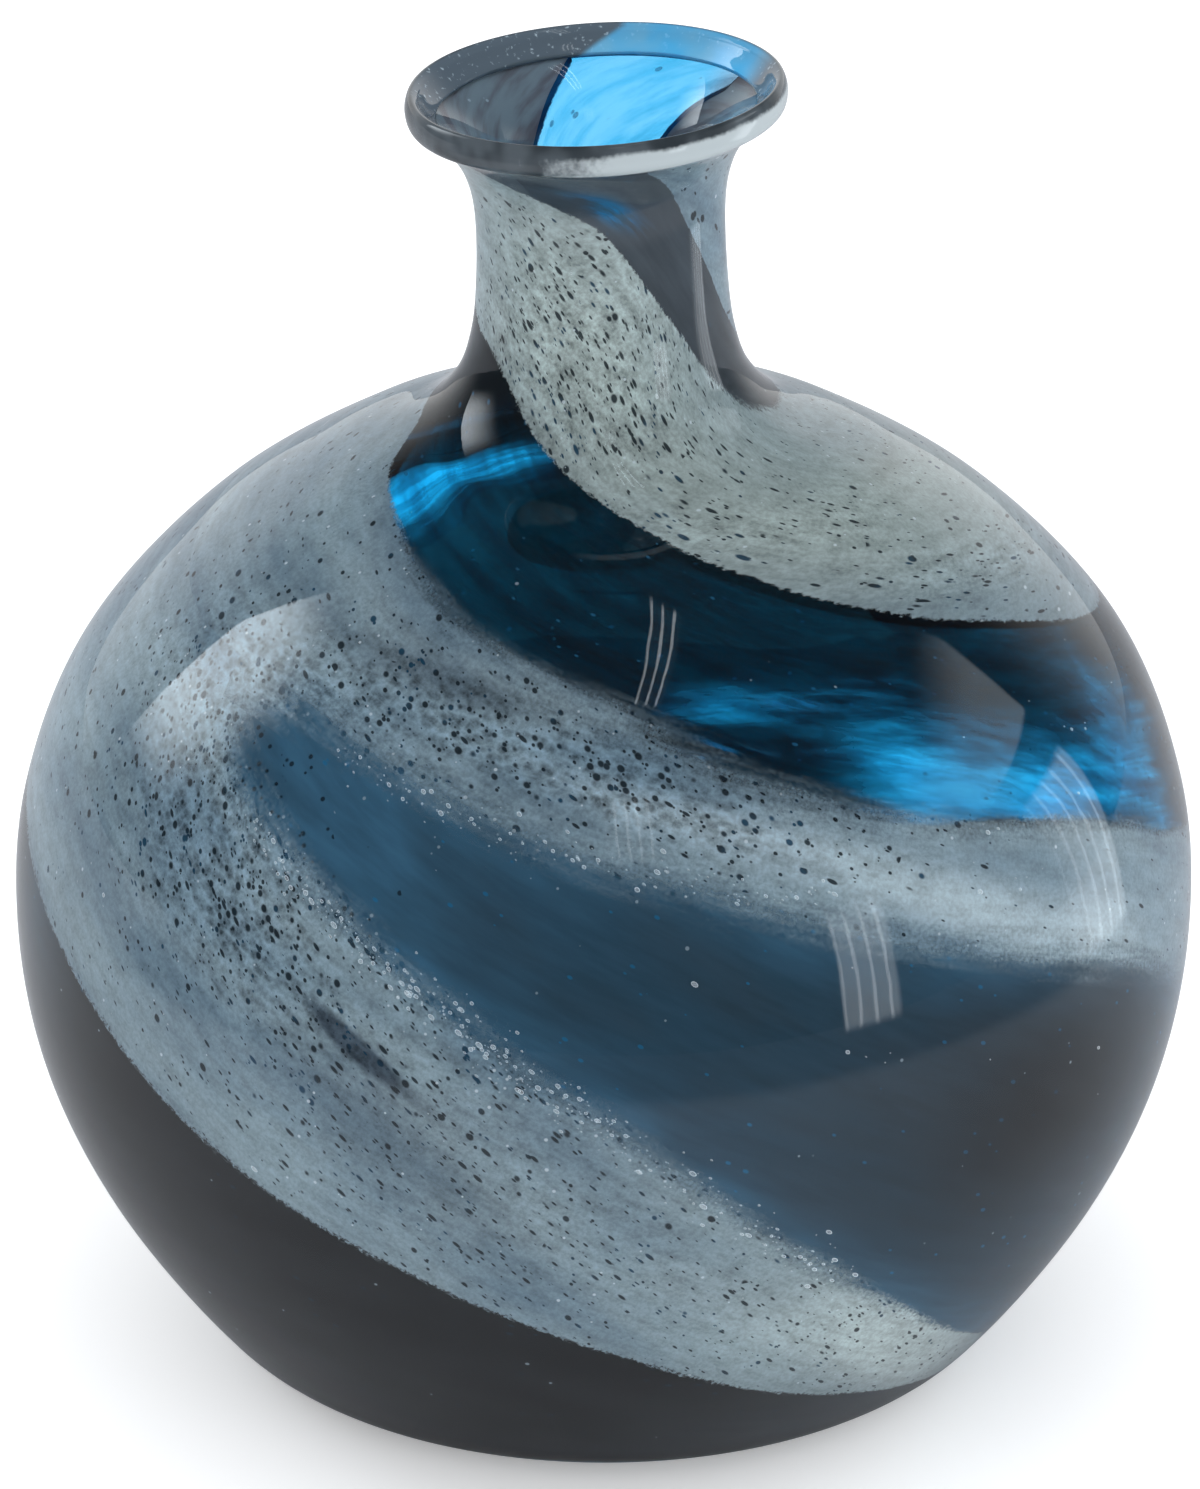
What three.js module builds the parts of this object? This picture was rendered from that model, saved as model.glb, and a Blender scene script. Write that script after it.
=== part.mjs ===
// A hand-blown art glass vase, in the layers a glassblower lays down: a bubble of blue glass,
// a skin of coloured stripes on it (three trails of grey enamel that twist down the vase, with
// azure, smoke, cobalt, slate and charcoal glass between them), a casing of clear glass over
// the stripes, and a wrap of dark glass rolled round the lip.
//
// Millimetres, +Z up. The origin is the middle of the foot, on the table.
// Angles are in degrees round the vase: 0 is the front (-Y) and +90 is the right (+X).
// The trails twist more than one turn, so an angle past 360 is on their next turn down.

import * as THREE from 'three';

// ------------------------------------------------------------------ driving dimensions

const SEGMENTS = 40; // columns round the vase
const STEP = 360 / SEGMENTS;

const FOOT_RADIUS = 57;
const BODY_RADIUS = 115;
const NECK_RADIUS = 23.5;
const WALL_TOP = 249.3; // height where the wall ends, under the lip wrap
const STRIPE_FLOOR = 3; // height where the coloured skin ends, round the foot

// Outline of the outer skin from foot to lip, as [radius, height], joined by a smooth curve.
const OUTLINE = [
  [FOOT_RADIUS, 0], [74.7, 3], [85.5, 13], [101.3, 37], [111.2, 62], [BODY_RADIUS, 88],
  [112.7, 113], [101.7, 140], [80, 164], [56, 180], [37, 189], [28.5, 197], [24.8, 207],
  [NECK_RADIUS, 220], [23.6, 233], [25.5, 241], [29, 246.5], [32.6, WALL_TOP],
];

// Section of the lip wrap, as [radius, height]: a rounded bead, flat where it meets the wall.
const LIP_SECTION = [
  [33.2, 249.7], [35.1, 250.6], [35.9, 253], [35.3, 255.2], [34, 256], [32.6, 255.2],
  [31.7, 253.6], [31.3, 252.2],
];

// Depth of each layer's two faces below the outer skin.
const CASING = { outer: 0, inner: 2 };
const STRIPES = { outer: 2.7, inner: 3.4 };
const BUBBLE = { outer: 4.2, inner: 5.5 };
const LIP_THINNING = 0.58; // the wall's thickness at the lip over its thickness elsewhere
const THINNING_START = 236; // height where the wall starts to thin
const FOOT_THICKENING = 2.3; // the wall's thickness at the foot over its thickness elsewhere
const FOOT_RISE = 34; // height where the wall has thinned to its usual thickness

const PONTIL_RADIUS = 14.5; // ground hollow where the pontil rod was
const PONTIL_DEPTH = 2.5;

// The neck was pulled a little to the left, and the lip droops to the left.
const NECK_LEAN = -1.3;
const LIP_TILT = 3.3;
const LEAN_START = 185;
const LEAN_END = 245;

const EDGE_GAP = 0.4; // between a stripe and the next, measured in height
const CUT_GAP = 0.4; // degrees, on each side of a cut across a stripe

// Edges of the twisting trails, as [angle, height], each joined by a smooth curve.
const ENAMEL_TOP = [
  [297, 247.8], [320, 243], [340, 239], [360, 234], [380, 224], [400, 212], [420, 200],
  [440, 193], [480, 190], [540, 190.5], [620, 191], [650, 186], [680, 179.5], [720, 162.5],
  [760, 140], [780, 129], [800, 111], [840, 78], [880, 50], [920, 25], [945, 11], [963, 4.4],
];
const ENAMEL_BOTTOM = [
  [189, 248.4], [207, 241], [225, 233], [243, 225], [262, 215.5], [280, 210], [300, 206.5],
  [340, 193.5], [380, 182], [420, 165], [460, 146], [500, 149], [550, 152], [580, 143],
  [610, 122], [640, 111], [660, 97], [680, 77], [720, 43], [740, 26], [763, 12], [783, 4.2],
  [801, STRIPE_FLOOR],
];
const COLLAR_BOTTOM = [
  [18, 247.6], [30, 242.5], [40, 237], [60, 224], [80, 211], [100, 204.5], [140, 204],
  [200, 205.5], [243, 206.6],
];
const AZURE_BOTTOM = [
  [117, 247.8], [135, 242], [160, 231], [200, 217], [243, 208.3], [270, 211.3],
];
const BRANCH_BOTTOM = [
  [477, 188.3], [540, 182], [600, 171], [645, 163], [675, 160.5], [690, 155.5], [720, 142],
  [740, 131], [780, 101.5], [800, 79], [840, 55], [880, 32.5], [920, 14.5], [945, 4.2],
  [963, STRIPE_FLOOR],
];
const SLATE_BOTTOM = [
  [666, 159.5], [675, 146], [690, 133.5], [720, 96], [740, 62.5], [760, 33], [780, 13.5],
  [801, 4.4],
];

const FIRST_ANGLE = (edge) => edge[0][0];
const LAST_ANGLE = (edge) => edge[edge.length - 1][0];
const SMOKE_START = FIRST_ANGLE(ENAMEL_TOP) - 360;
const COLLAR_START = FIRST_ANGLE(COLLAR_BOTTOM);
const COLLAR_END = LAST_ANGLE(COLLAR_BOTTOM);
const AZURE_START = FIRST_ANGLE(AZURE_BOTTOM);
const AZURE_END = LAST_ANGLE(AZURE_BOTTOM);
const MAIN_START = FIRST_ANGLE(ENAMEL_BOTTOM);
const BRANCH_START = FIRST_ANGLE(BRANCH_BOTTOM);
const SLATE_START = FIRST_ANGLE(SLATE_BOTTOM);
const MAIN_END = LAST_ANGLE(ENAMEL_BOTTOM);
const BRANCH_END = LAST_ANGLE(BRANCH_BOTTOM);
const CHARCOAL_END = 783; // where the main trail's lower edge runs off the skin
const SLATE_END = 945; // where the branch trail's lower edge does
const BACK_OF_NECK = 180; // smoke glass meets cobalt glass here
const BACK_OF_BODY = 540; // cobalt glass meets charcoal glass here

// Rows of facets on each layer
const CASING_ROWS = { outer: 22, inner: 34 };
const BUBBLE_ROWS = { outer: 34, inner: 18 };
const LIP_POINTS = 12;
const PONTIL_POINTS = 3;
const OUTLINE_SAMPLES = 400;
const FLATTEST_RADIUS = 150; // straight stretches get rows as if they curved this much

// ------------------------------------------------------------------------- helpers

function curveThrough(knots) {
  return new THREE.SplineCurve(knots.map(([x, y]) => new THREE.Vector2(x, y)));
}

// The parameter of a curve at which one coordinate, rising all along it, has a given value.
function parameterAt(curve, coordinate, value) {
  let low = 0;
  let high = 1;
  for (let halving = 0; halving < 40; halving += 1) {
    const middle = (low + high) / 2;
    if (curve.getPoint(middle)[coordinate] < value) {
      low = middle;
    } else {
      high = middle;
    }
  }
  return (low + high) / 2;
}

const outline = curveThrough(OUTLINE);

// Running total along the outline that grows faster where it bends more, so that facets
// between even steps of it all fit the curve equally well.
function bendTotals() {
  const totals = [0];
  for (let sample = 1; sample <= OUTLINE_SAMPLES; sample += 1) {
    const before = (sample - 1) / OUTLINE_SAMPLES;
    const after = sample / OUTLINE_SAMPLES;
    const length = outline.getPoint(before).distanceTo(outline.getPoint(after));
    const turning = outline.getTangent(before).angleTo(outline.getTangent(after));
    const bend = turning + length / FLATTEST_RADIUS;
    totals.push(totals[sample - 1] + Math.sqrt(length * bend));
  }
  return totals;
}

const outlineTotals = bendTotals();

// The curve parameter at a station: 0 is the foot, 1 the lip, in even steps of that total.
function stationParameter(station) {
  const total = station * outlineTotals[OUTLINE_SAMPLES];
  const after = Math.max(1, outlineTotals.findIndex((value) => value >= total - 1e-9));
  const [low, high] = [outlineTotals[after - 1], outlineTotals[after]];
  return (after - 1 + (total - low) / (high - low)) / OUTLINE_SAMPLES;
}

// The station at a height on the outline.
function heightStation(height) {
  const place = parameterAt(outline, 'y', height) * OUTLINE_SAMPLES;
  const before = Math.min(Math.floor(place), OUTLINE_SAMPLES - 1);
  const [low, high] = [outlineTotals[before], outlineTotals[before + 1]];
  return (low + (place - before) * (high - low)) / outlineTotals[OUTLINE_SAMPLES];
}

function edgeHeight(knots) {
  const curve = curveThrough(knots);
  return (angle) => curve.getPoint(parameterAt(curve, 'x', angle)).y;
}

// How much deeper or shallower than usual a face lies at a height on the outline.
function localDepth(height, depth) {
  const thinning = THREE.MathUtils.smoothstep(height, THINNING_START, WALL_TOP);
  const sinking = Math.max(0, 1 - height / FOOT_RISE) ** 2;
  return depth * THREE.MathUtils.lerp(1, LIP_THINNING, thinning)
    * THREE.MathUtils.lerp(1, FOOT_THICKENING, sinking);
}

// The [radius, height] point of a face that lies at some depth below the outer skin.
function sectionPoint(station, depth) {
  const parameter = stationParameter(station);
  const skin = outline.getPoint(parameter);
  const tangent = outline.getTangent(parameter);
  const inward = new THREE.Vector2(-tangent.y, tangent.x);
  return skin.addScaledVector(inward, localDepth(skin.y, depth));
}

// Pulls the neck to the side and tilts the lip, as the maker's hand did.
function leanNeck(point) {
  const rise = Math.max(0, (point.z - LEAN_START) / (LEAN_END - LEAN_START));
  const tilt = THREE.MathUtils.degToRad(LIP_TILT) * Math.min(rise, 1);
  return point.set(
    point.x + NECK_LEAN * rise * rise,
    point.y,
    point.z + point.x * Math.tan(tilt),
  );
}

function aroundAxis(angle, section) {
  const turn = THREE.MathUtils.degToRad(angle);
  const { x: radius, y: height } = section;
  return leanNeck(new THREE.Vector3(radius * Math.sin(turn), -radius * Math.cos(turn), height));
}

// A solid of revolution from a section, with the neck's lean put in.
function turnedSolid(section) {
  const geometry = new THREE.LatheGeometry(section, SEGMENTS);
  geometry.rotateX(Math.PI / 2);
  const position = geometry.attributes.position;
  const point = new THREE.Vector3();
  for (let index = 0; index < position.count; index += 1) {
    leanNeck(point.fromBufferAttribute(position, index));
    position.setXYZ(index, point.x, point.y, point.z);
  }
  geometry.computeVertexNormals();
  return geometry;
}

// The points of one face of a layer, from the foot up to the lip.
function faceSection(depth, rows) {
  const points = [];
  for (let row = 0; row <= rows; row += 1) {
    points.push(sectionPoint(row / rows, depth));
  }
  return points;
}

// ------------------------------------------------------------------------- the layers

// The ground hollow under the foot, from the axis out to the flat ring the vase stands on.
function pontilSection() {
  const points = [];
  for (let index = 0; index <= PONTIL_POINTS; index += 1) {
    const out = index / PONTIL_POINTS;
    points.push(new THREE.Vector2(PONTIL_RADIUS * out, PONTIL_DEPTH * (1 - out * out)));
  }
  return points;
}

function casingGeometry() {
  const skin = faceSection(CASING.outer, CASING_ROWS.outer);
  const inside = faceSection(CASING.inner, CASING_ROWS.inner).reverse();
  const floor = new THREE.Vector2(0, inside[inside.length - 1].y);
  return turnedSolid([...pontilSection(), ...skin, ...inside, floor]);
}

function bubbleGeometry() {
  const outside = faceSection(BUBBLE.outer, BUBBLE_ROWS.outer);
  const inside = faceSection(BUBBLE.inner, BUBBLE_ROWS.inner).reverse();
  const underside = new THREE.Vector2(0, outside[0].y);
  const floor = new THREE.Vector2(0, inside[inside.length - 1].y);
  return turnedSolid([underside, ...outside, ...inside, floor]);
}

function lipGeometry() {
  const bead = new THREE.CatmullRomCurve3(
    LIP_SECTION.map(([radius, height]) => new THREE.Vector3(radius, height, 0)),
    true,
  );
  const section = bead.getPoints(LIP_POINTS).map(({ x, y }) => new THREE.Vector2(x, y));
  return turnedSolid(section);
}

// Column angles of a stripe: its two ends, and every full step between them.
function columnAngles(start, end) {
  const angles = [start];
  for (let angle = (Math.floor(start / STEP) + 1) * STEP; angle < end; angle += STEP) {
    angles.push(angle);
  }
  return [...angles, end];
}

// A stripe of the coloured skin, between two edges that give a height for each angle.
function stripeGeometry({ start, end, rows, top, bottom }) {
  const positions = [];
  const columns = columnAngles(start, end);
  for (const angle of columns) {
    const high = heightStation(top(angle) - EDGE_GAP / 2);
    const low = heightStation(bottom(angle) + EDGE_GAP / 2);
    for (let row = 0; row <= rows; row += 1) {
      const station = THREE.MathUtils.lerp(high, low, row / rows);
      for (const depth of [STRIPES.outer, STRIPES.inner]) {
        positions.push(...aroundAxis(angle, sectionPoint(station, depth)).toArray());
      }
    }
  }

  const corner = (column, row, face) => 2 * (column * (rows + 1) + row) + face;
  const triangles = [];
  const quad = (a, b, c, d) => triangles.push(a, b, c, a, c, d);
  const last = columns.length - 1;
  for (let column = 0; column < last; column += 1) {
    const next = column + 1;
    for (let row = 0; row < rows; row += 1) {
      const below = row + 1;
      quad(corner(column, row, 0), corner(column, below, 0), corner(next, below, 0), corner(next, row, 0));
      quad(corner(column, row, 1), corner(next, row, 1), corner(next, below, 1), corner(column, below, 1));
    }
    quad(corner(column, 0, 0), corner(next, 0, 0), corner(next, 0, 1), corner(column, 0, 1));
    quad(corner(column, rows, 0), corner(column, rows, 1), corner(next, rows, 1), corner(next, rows, 0));
  }
  for (let row = 0; row < rows; row += 1) {
    const below = row + 1;
    quad(corner(0, row, 0), corner(0, row, 1), corner(0, below, 1), corner(0, below, 0));
    quad(corner(last, row, 0), corner(last, below, 0), corner(last, below, 1), corner(last, row, 1));
  }

  const geometry = new THREE.BufferGeometry();
  geometry.setAttribute('position', new THREE.Float32BufferAttribute(positions, 3));
  geometry.setIndex(triangles);
  geometry.computeVertexNormals();
  return geometry;
}

// --------------------------------------------------------------- edges of the stripes

const enamelTop = edgeHeight(ENAMEL_TOP);
const enamelBottom = edgeHeight(ENAMEL_BOTTOM);
const collarBottom = edgeHeight(COLLAR_BOTTOM);
const azureBottom = edgeHeight(AZURE_BOTTOM);
const branchBottom = edgeHeight(BRANCH_BOTTOM);
const slateBottom = edgeHeight(SLATE_BOTTOM);

// The main trail starts under the lip, drops below the branch trail behind the shoulder,
// and below the slate stripe at the front.
function mainTop(angle) {
  if (angle < FIRST_ANGLE(ENAMEL_TOP)) {
    return WALL_TOP;
  }
  if (angle < BRANCH_START) {
    return enamelTop(angle);
  }
  return angle < SLATE_START ? branchBottom(angle) : slateBottom(angle);
}

// The other stripes of the neck start under the lip too.
function collarTop(angle) {
  return angle < AZURE_START ? WALL_TOP : azureBottom(angle);
}

function azureTop(angle) {
  return angle < MAIN_START ? WALL_TOP : enamelBottom(angle);
}

function smokeTop(angle) {
  return angle < COLLAR_START ? WALL_TOP : collarBottom(angle);
}

// The cobalt stripe lies under the collar, then the azure stripe, then the main trail.
function cobaltTop(angle) {
  if (angle <= COLLAR_END) {
    return collarBottom(angle);
  }
  return angle <= AZURE_END ? azureBottom(angle) : enamelBottom(angle);
}

// The stripe below a trail reaches down to that trail's next turn, or to the skin's end.
function windowBottom(angle) {
  const nextTurn = angle + 360;
  return nextTurn <= BRANCH_END ? enamelTop(nextTurn) : STRIPE_FLOOR;
}

function slateFloor(angle) {
  return angle <= MAIN_END ? slateBottom(angle) : STRIPE_FLOOR;
}

const STRIPE_SHAPES = {
  collar_enamel_trail: {
    start: COLLAR_START, end: COLLAR_END, rows: 7, top: collarTop, bottom: collarBottom,
  },
  main_enamel_trail: {
    start: MAIN_START, end: MAIN_END, rows: 8, top: mainTop, bottom: enamelBottom,
  },
  branch_enamel_trail: {
    start: BRANCH_START, end: BRANCH_END, rows: 3, top: enamelTop, bottom: branchBottom,
  },
  neck_azure_stripe: {
    start: AZURE_START, end: AZURE_END, rows: 5, top: azureTop, bottom: azureBottom,
  },
  neck_smoke_stripe: {
    start: SMOKE_START, end: BACK_OF_NECK - CUT_GAP, rows: 4, top: smokeTop, bottom: windowBottom,
  },
  shoulder_cobalt_stripe: {
    start: BACK_OF_NECK + CUT_GAP,
    end: BACK_OF_BODY - CUT_GAP,
    rows: 7,
    top: cobaltTop,
    bottom: windowBottom,
  },
  body_slate_stripe: {
    start: SLATE_START, end: SLATE_END, rows: 9, top: branchBottom, bottom: slateFloor,
  },
  base_charcoal_stripe: {
    start: BACK_OF_BODY + CUT_GAP, end: CHARCOAL_END, rows: 10, top: enamelBottom, bottom: windowBottom,
  },
};

// ------------------------------------------------------------------------- materials

function glass(color, roughness) {
  return new THREE.MeshStandardMaterial({ color, roughness, metalness: 0 });
}

const MATERIALS = {
  clear_casing: glass(0xdfe8ea, 0.04),
  blue_bubble: glass(0x1b6fb4, 0.05),
  lip_wrap: glass(0x1c2733, 0.06),
  main_enamel_trail: glass(0x8f999e, 0.3),
  branch_enamel_trail: glass(0x8c97a0, 0.3),
  collar_enamel_trail: glass(0x9aa2a1, 0.3),
  neck_azure_stripe: glass(0x2f9fe0, 0.06),
  neck_smoke_stripe: glass(0x2b333c, 0.06),
  shoulder_cobalt_stripe: glass(0x0a3f70, 0.06),
  body_slate_stripe: glass(0x24435c, 0.06),
  base_charcoal_stripe: glass(0x2f3133, 0.06),
};

// ------------------------------------------------------------------------- the vase

const vase = new THREE.Group();

function addPiece(name, geometry) {
  const piece = new THREE.Mesh(geometry, MATERIALS[name]);
  piece.name = name;
  vase.add(piece);
}

addPiece('clear_casing', casingGeometry());
addPiece('blue_bubble', bubbleGeometry());
addPiece('lip_wrap', lipGeometry());
for (const [name, shape] of Object.entries(STRIPE_SHAPES)) {
  addPiece(name, stripeGeometry(shape));
}

export default vase;
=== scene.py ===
"""A hand-blown art glass vase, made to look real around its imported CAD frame.

The CAD holds the layers of the vase as plain faceted solids. This script makes each layer again
as a fine smooth solid in the same place: the clear casing, the blue bubble, the rolled lip, the
grey enamel trails and the coloured glass stripes between them. The outline and the edges of the
stripes are the design's own, in millimetres; the body's radius comes from the frame.

Angles are in degrees round the vase: 0 is the front (-Y), +90 the right (+X). The trails twist
more than one turn, so an angle past 360 is on their next turn down. "Arc" is the distance along
the outline from the foot, in millimetres.
"""

import math

import bmesh
import bpy
import numpy as np
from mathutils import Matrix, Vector


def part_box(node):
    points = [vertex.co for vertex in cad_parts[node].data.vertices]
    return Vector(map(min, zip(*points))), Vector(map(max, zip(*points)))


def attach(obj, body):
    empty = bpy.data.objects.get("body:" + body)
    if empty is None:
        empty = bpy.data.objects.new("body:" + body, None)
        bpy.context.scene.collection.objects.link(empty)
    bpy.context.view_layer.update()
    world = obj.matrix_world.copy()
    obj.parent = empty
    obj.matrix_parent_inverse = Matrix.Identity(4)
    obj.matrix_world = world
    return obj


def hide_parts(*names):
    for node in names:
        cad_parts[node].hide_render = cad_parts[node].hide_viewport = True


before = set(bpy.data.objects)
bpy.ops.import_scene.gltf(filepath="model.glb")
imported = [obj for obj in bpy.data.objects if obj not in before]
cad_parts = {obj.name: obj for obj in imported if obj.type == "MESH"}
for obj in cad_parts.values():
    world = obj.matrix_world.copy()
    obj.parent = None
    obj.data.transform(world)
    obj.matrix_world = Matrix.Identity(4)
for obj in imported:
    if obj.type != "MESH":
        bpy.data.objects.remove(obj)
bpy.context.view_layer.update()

MM = 0.001
WHITE = (1, 1, 1, 1)

# ---------- the vase's own dimensions

FOOT_RADIUS = 57.0
BODY_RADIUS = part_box("clear_casing")[1].x / MM
NECK_RADIUS = 23.5
WALL_TOP = 249.3
STRIPE_FLOOR = 3.0
PONTIL_RADIUS = 14.5
PONTIL_DEPTH = 2.5

# Outline of the outer skin from foot to lip, as (radius, height), joined by a smooth curve.
OUTLINE = [
    (FOOT_RADIUS, 0), (74.7, 3), (85.5, 13), (101.3, 37), (111.2, 62), (BODY_RADIUS, 88),
    (112.7, 113), (101.7, 140), (80, 164), (56, 180), (37, 189), (28.5, 197), (24.8, 207),
    (NECK_RADIUS, 220), (23.6, 233), (25.5, 241), (29, 246.5), (32.6, WALL_TOP),
]
# Section of the rolled lip. It closes the top of the wall, so it takes in the wall's cut end.
BEAD = [
    (32.4, 249.3), (35.2, 250.4), (35.95, 253), (35.5, 255.2), (34.7, 256), (33.5, 255.3),
    (32.0, 253.5), (30.05, 251.25), (31.0, 250.4),
]

# Depths below the outer skin: the casing's inner face, and the two faces of each layer inside
CASING_DEPTH = 2.0
BRANCH_DEPTHS = (2.45, 2.7)
COLLAR_DEPTHS = (2.7, 2.95)
MAIN_DEPTHS = (2.75, 3.0)
GLASS_DEPTHS = (3.1, 3.4)
AZURE_DEPTHS = (3.45, 3.75)
BUBBLE_DEPTHS = (4.2, 5.5)
# The wall is thinner at the lip and thicker at the foot, by these shares, from these heights on.
LIP_THINNING = 0.58
THINNING_START = 236.0
FOOT_THICKENING = 2.3
FOOT_RISE = 34.0

NECK_LEAN = -1.3
LIP_TILT = 3.3
LEAN_START = 185.0
LEAN_END = 245.0

# Edges of the trails, as (angle, height)
ENAMEL_TOP = [
    (297, 247.8), (320, 243), (340, 239), (360, 234), (380, 224), (400, 212), (420, 200),
    (440, 193), (480, 190), (540, 190.5), (620, 191), (650, 186), (680, 179.5), (720, 162.5),
    (760, 140), (780, 129), (800, 111), (840, 78), (880, 50), (920, 25), (945, 11), (963, 4.4),
]
ENAMEL_BOTTOM = [
    (189, 248.4), (207, 241), (225, 233), (243, 225), (262, 215.5), (280, 210), (300, 206.5),
    (340, 193.5), (380, 182), (420, 165), (460, 146), (500, 149), (550, 152), (580, 143),
    (610, 122), (640, 111), (660, 97), (680, 77), (720, 43), (740, 26), (763, 12), (783, 4.2),
    (801, STRIPE_FLOOR),
]
COLLAR_BOTTOM = [
    (18, 247.6), (30, 242.5), (40, 237), (60, 224), (80, 211), (100, 204.5), (140, 204),
    (200, 205.5), (243, 206.6),
]
AZURE_BOTTOM = [(117, 247.8), (135, 242), (160, 231), (200, 217), (243, 208.3), (270, 211.3)]
BRANCH_BOTTOM = [
    (477, 188.3), (540, 182), (600, 171), (645, 163), (675, 160.5), (690, 155.5), (720, 142),
    (740, 131), (780, 101.5), (800, 79), (840, 55), (880, 32.5), (920, 14.5), (945, 4.2),
    (963, STRIPE_FLOOR),
]
SLATE_BOTTOM = [
    (666, 159.5), (675, 146), (690, 133.5), (720, 96), (740, 62.5), (760, 33), (780, 13.5),
    (801, 4.4),
]

# Fineness of the meshes
SKIN_COLUMNS = 288
OUTER_RINGS = 210
FUSED_RINGS = 110
CAVITY_RINGS = 150
LIP_COLUMNS = 240
LIP_POINTS = 72
COLUMN_STEP = 1
ROW_STEP = 1.6
SHARP_CORNER = 60


# ---------- curves

def smooth_curve(knots, steps=24):
    """Points of the Catmull-Rom curve through the knots, as the CAD joins them."""
    knots = np.array(knots, float)
    ends = np.vstack([knots[:1], knots, knots[-1:]])
    share = np.linspace(0, 1, steps, endpoint=False)[:, None]
    stretches = []
    for before, start, end, after in zip(ends, ends[1:], ends[2:], ends[3:]):
        leave, arrive = (end - before) / 2, (after - start) / 2
        cubic = 2 * start - 2 * end + leave + arrive
        square = 3 * end - 3 * start - 2 * leave - arrive
        stretches.append(((cubic * share + square) * share + leave) * share + start)
    return np.vstack([*stretches, knots[-1:]])


def smoothstep(value, low, high):
    share = np.clip((value - low) / (high - low), 0, 1)
    return share * share * (3 - 2 * share)


outline = smooth_curve(OUTLINE)
steps = np.diff(outline, axis=0)
outline_arc = np.concatenate([[0], np.cumsum(np.hypot(steps[:, 0], steps[:, 1]))])
directions = np.gradient(outline, outline_arc, axis=0)
WALL_ARC = outline_arc[-1]
FLOOR_ARC = float(np.interp(STRIPE_FLOOR, outline[:, 1], outline_arc))


def arc_at(height):
    return np.interp(height, outline[:, 1], outline_arc)


def height_at(arc):
    return np.interp(arc, outline_arc, outline[:, 1])


def radius_at(arc):
    return np.interp(arc, outline_arc, outline[:, 0])


def lean_neck(points):
    """Pulls the neck to the side and tilts the lip, as in the CAD."""
    rise = np.maximum(0, (points[..., 2] - LEAN_START) / (LEAN_END - LEAN_START))
    tilt = np.tan(math.radians(LIP_TILT) * np.minimum(rise, 1))
    leaned = points.copy()
    leaned[..., 0] += NECK_LEAN * rise**2
    leaned[..., 2] += points[..., 0] * tilt
    return leaned


def all_round(columns):
    """Evenly spaced angles, once round."""
    return np.arange(columns) * 360 / columns


def around_axis(angle, radius, height):
    turn = np.radians(angle)
    return np.stack([radius * np.sin(turn), -radius * np.cos(turn), height + 0 * turn], axis=-1)


def hand_wobble(angle, arc):
    """The small unevenness of hand-blown glass, in millimetres, gone at the foot and the lip."""
    turn = np.radians(angle)
    waves = (
        0.30 * np.sin(2 * turn + 0.7 + arc / 70)
        + 0.18 * np.sin(3 * turn - arc / 38 + 2.0)
        + 0.10 * np.sin(5 * turn + arc / 24 + 4.1)
        + 0.05 * np.sin(9 * turn - arc / 15 + 1.3)
    )
    return waves * smoothstep(arc, 15, 70) * (1 - 0.6 * smoothstep(arc, 240, WALL_ARC))


def skin_point(angle, arc, depth):
    """Points in millimetres, some depth below the outer skin."""
    angle, arc = np.broadcast_arrays(np.asarray(angle, float), np.asarray(arc, float))
    height = height_at(arc)
    along = np.stack([np.interp(arc, outline_arc, directions[:, k]) for k in (0, 1)])
    along = along / np.hypot(along[0], along[1])
    sinking = np.maximum(0, 1 - height / FOOT_RISE) ** 2
    depth = depth * (1 - (1 - LIP_THINNING) * smoothstep(height, THINNING_START, WALL_TOP))
    depth = depth * (1 + (FOOT_THICKENING - 1) * sinking)
    depth = depth - hand_wobble(angle, arc)
    return lean_neck(around_axis(angle, radius_at(arc) - along[1] * depth, height + along[0] * depth))


# ---------- meshes

def face_outwards(mesh):
    """Turns every face of a closed mesh outwards."""
    shell = bmesh.new()
    shell.from_mesh(mesh)
    bmesh.ops.recalc_face_normals(shell, faces=shell.faces)
    shell.to_mesh(mesh)
    shell.free()


def add_object(name, data):
    made = bpy.data.objects.new(name, data)
    bpy.context.scene.collection.objects.link(made)
    return made


def make_object(name, points, faces, materials, face_materials=None, attributes=None):
    """A smooth mesh object from points in millimetres."""
    mesh = bpy.data.meshes.new(name)
    mesh.from_pydata((points * MM).tolist(), [], [tuple(face) for face in faces])
    for material in materials:
        mesh.materials.append(material)
    if face_materials is not None:
        mesh.polygons.foreach_set("material_index", np.asarray(face_materials, np.int32))
    for key, values in (attributes or {}).items():
        kind = "FLOAT_VECTOR" if values.ndim == 2 else "FLOAT"
        layer = mesh.attributes.new(key, kind, "POINT")
        field = "vector" if values.ndim == 2 else "value"
        layer.data.foreach_set(field, np.ascontiguousarray(values, np.float32).ravel())
    mesh.polygons.foreach_set("use_smooth", np.ones(len(mesh.polygons), bool))
    face_outwards(mesh)
    mesh.set_sharp_from_angle(angle=math.radians(SHARP_CORNER))
    mesh.update()
    return add_object(name, mesh)


def lathe(rings, closed):
    """Points and quads of rings stacked into a body. rings is (ring, column, 3)."""
    ring_count, columns = rings.shape[:2]
    index = np.arange(ring_count * columns).reshape(ring_count, columns)
    lower = index if closed else index[:-1]
    upper = np.roll(index, -1, axis=0) if closed else index[1:]
    quads = np.stack(
        [lower, np.roll(lower, -1, axis=1), np.roll(upper, -1, axis=1), upper], axis=-1
    )
    return rings.reshape(-1, 3), quads.reshape(-1, 4)


def settle(piece, replaced=None):
    """Puts a piece on the vase's only body, in place of a CAD node if it stands for one."""
    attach(piece, "root")
    if replaced:
        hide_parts(replaced)


# ---------- materials

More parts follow.
